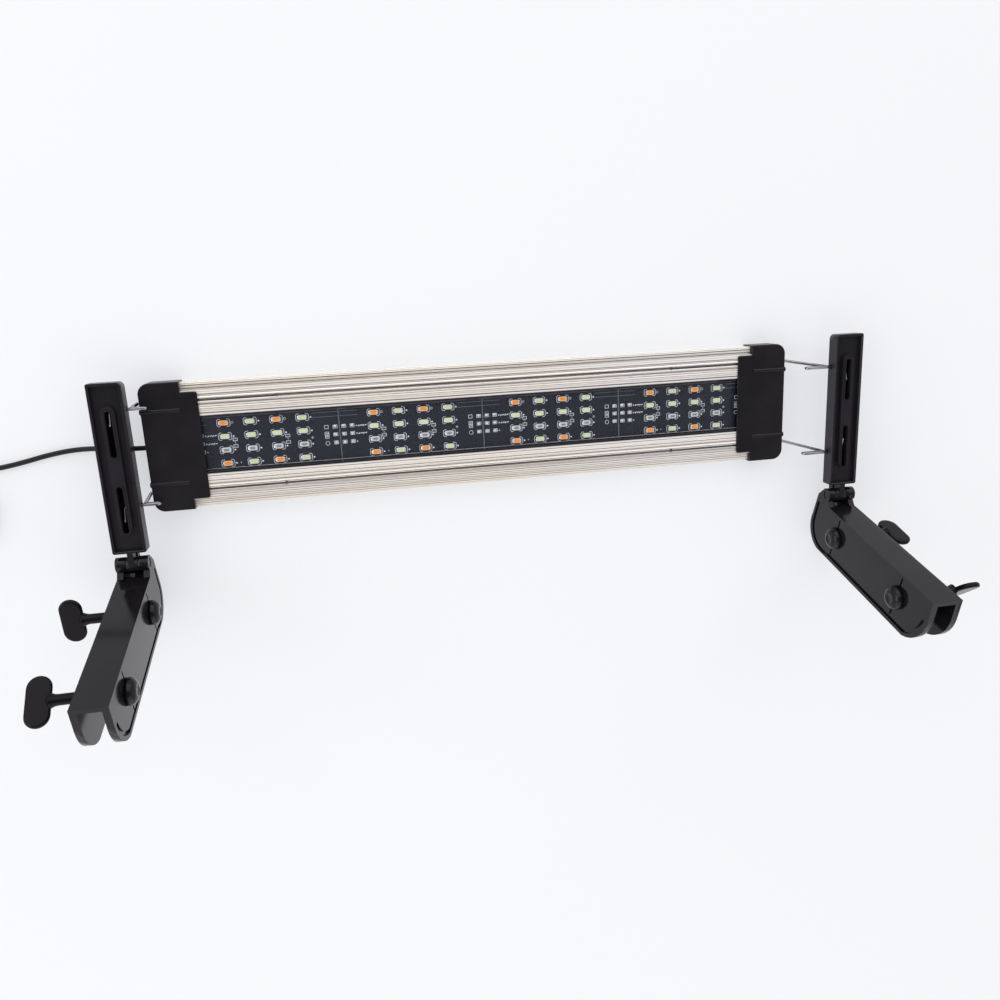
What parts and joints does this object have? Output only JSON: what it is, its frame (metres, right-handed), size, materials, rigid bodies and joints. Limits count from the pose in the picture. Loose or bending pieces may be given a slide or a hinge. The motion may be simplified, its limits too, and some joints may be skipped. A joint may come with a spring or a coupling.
{
  "type": "led aquarium light",
  "caption": "Slim LED aquarium lamp on sliding wire brackets, with hinged rim clamps, thumb screws and a DC lead.",
  "frame": {"origin": "centre of the flat back of the lamp's housing", "axes": "+X along the lamp towards the end without the cord, +Z out of the LED face, +Y away from the clamps' hinges"},
  "size_m": [0.6234, 0.1746, 0.1307],
  "materials": {
    "aluminium": "extruded, satin anodised",
    "gloss_black": "polished injection moulding",
    "cap_black": "polished injection moulding",
    "seal_rubber": "matt",
    "plug_rubber": "polished rubber",
    "steel": "bright zinc",
    "wire_steel": "drawn bright wire",
    "board": "dark solder mask",
    "led_orange": "silicone phosphor",
    "led_warm": "silicone phosphor",
    "led_white": "silicone phosphor",
    "chip": "ceramic",
    "solder": "tinned",
    "lens": "clear polished sheet",
    "pad_grey": "silicone",
    "insulation_red": "wire insulation",
    "insulation_black": "wire insulation",
    "cord_black": "PVC sheath",
    "tie": "plastic strip",
    "plug_metal": "nickel plated",
    "brass": "turned"
  },
  "bodies": {
    "lamp": {"housing_extrusion": "aluminium", "thermal_pad": "pad_grey", "led_board_1": "board", "led_board_2": "board", "led_board_3": "board", "led_board_4": "board", "leds_orange": "led_orange", "leds_warm": "led_warm", "leds_white": "led_white", "board_resistors": "chip", "solder_joints": "solder", "lens_cover": "lens", "lens_end_seals": "seal_rubber", "lead_positive": "insulation_red", "lead_negative": "insulation_black", "cable_grommet": "seal_rubber", "power_cord": "cord_black", "power_cord_coil": "cord_black", "power_cord_tail": "cord_black", "cord_tie": "tie", "dc_plug": "cord_black", "dc_plug_barrel": "plug_metal", "end_cap_left": "cap_black", "end_cap_right": "cap_black", "end_seal_left": "seal_rubber", "end_seal_right": "seal_rubber", "cap_screws_left": "steel", "cap_screws_right": "steel"},
    "bracket_left": {"wire_leg_left_upper": "wire_steel", "wire_leg_left_lower": "wire_steel", "arm_frame_left": "gloss_black", "arm_cover_left": "gloss_black", "arm_screws_left": "steel"},
    "clamp_left": {"clamp_left": "gloss_black", "hinge_pin_left": "gloss_black", "flange_plugs_left": "plug_rubber", "thread_inserts_left": "brass"},
    "pad_left_rear": {"pressure_pad_left_rear": "seal_rubber"},
    "thumb_screw_left_rear": {"thumb_screw_left_rear": "gloss_black"},
    "pad_left_front": {"pressure_pad_left_front": "seal_rubber"},
    "thumb_screw_left_front": {"thumb_screw_left_front": "gloss_black"},
    "bracket_right": {"wire_leg_right_upper": "wire_steel", "wire_leg_right_lower": "wire_steel", "arm_frame_right": "gloss_black", "arm_cover_right": "gloss_black", "arm_screws_right": "steel"},
    "clamp_right": {"clamp_right": "gloss_black", "hinge_pin_right": "gloss_black", "flange_plugs_right": "plug_rubber", "thread_inserts_right": "brass"},
    "pad_right_rear": {"pressure_pad_right_rear": "seal_rubber"},
    "thumb_screw_right_rear": {"thumb_screw_right_rear": "gloss_black"},
    "pad_right_front": {"pressure_pad_right_front": "seal_rubber"},
    "thumb_screw_right_front": {"thumb_screw_right_front": "gloss_black"}
  },
  "joints": [
    {"name": "bracket_slide_left", "type": "slide", "parent": "lamp", "child": "bracket_left", "axis": [-1, 0, 0], "range_m": [0, 0.055]},
    {"name": "clamp_fold_left", "type": "hinge", "parent": "bracket_left", "child": "clamp_left", "pos_m": [-0.2152, -0.0666, 0.0183], "axis": [1, 0, 0], "range_deg": [-105, 0]},
    {"name": "pad_travel_left_rear", "type": "slide", "parent": "clamp_left", "child": "pad_left_rear", "axis": [1, 0, 0], "range_m": [0, 0.0065]},
    {"name": "screw_turn_left_rear", "type": "hinge", "parent": "pad_left_rear", "child": "thumb_screw_left_rear", "pos_m": [-0.2209, -0.09322, 0.03187], "axis": [1, 0, 0], "range_deg": [0, 1560]},
    {"name": "pad_travel_left_front", "type": "slide", "parent": "clamp_left", "child": "pad_left_front", "axis": [1, 0, 0], "range_m": [0, 0.0065]},
    {"name": "screw_turn_left_front", "type": "hinge", "parent": "pad_left_front", "child": "thumb_screw_left_front", "pos_m": [-0.2209, -0.11108, 0.09852], "axis": [1, 0, 0], "range_deg": [0, 1560]},
    {"name": "bracket_slide_right", "type": "slide", "parent": "lamp", "child": "bracket_right", "axis": [1, 0, 0], "range_m": [0, 0.05]},
    {"name": "clamp_fold_right", "type": "hinge", "parent": "bracket_right", "child": "clamp_right", "pos_m": [0.2398, -0.0648, 0.0183], "axis": [1, 0, 0], "range_deg": [-105, 0]},
    {"name": "pad_travel_right_rear", "type": "slide", "parent": "clamp_right", "child": "pad_right_rear", "axis": [-1, 0, 0], "range_m": [0, 0.0065]},
    {"name": "screw_turn_right_rear", "type": "hinge", "parent": "pad_right_rear", "child": "thumb_screw_right_rear", "pos_m": [0.2455, -0.09142, 0.03187], "axis": [-1, 0, 0], "range_deg": [0, 1560]},
    {"name": "pad_travel_right_front", "type": "slide", "parent": "clamp_right", "child": "pad_right_front", "axis": [-1, 0, 0], "range_m": [0, 0.0065]},
    {"name": "screw_turn_right_front", "type": "hinge", "parent": "pad_right_front", "child": "thumb_screw_right_front", "pos_m": [0.2455, -0.10928, 0.09852], "axis": [-1, 0, 0], "range_deg": [0, 1560]}
  ],
  "couplings": [
    {"joint": "screw_turn_left_rear", "follows": "pad_travel_left_rear", "rad_per_m": 4188.8},
    {"joint": "screw_turn_left_front", "follows": "pad_travel_left_front", "rad_per_m": 4188.8},
    {"joint": "screw_turn_right_rear", "follows": "pad_travel_right_rear", "rad_per_m": 4188.8},
    {"joint": "screw_turn_right_front", "follows": "pad_travel_right_front", "rad_per_m": 4188.8}
  ]
}
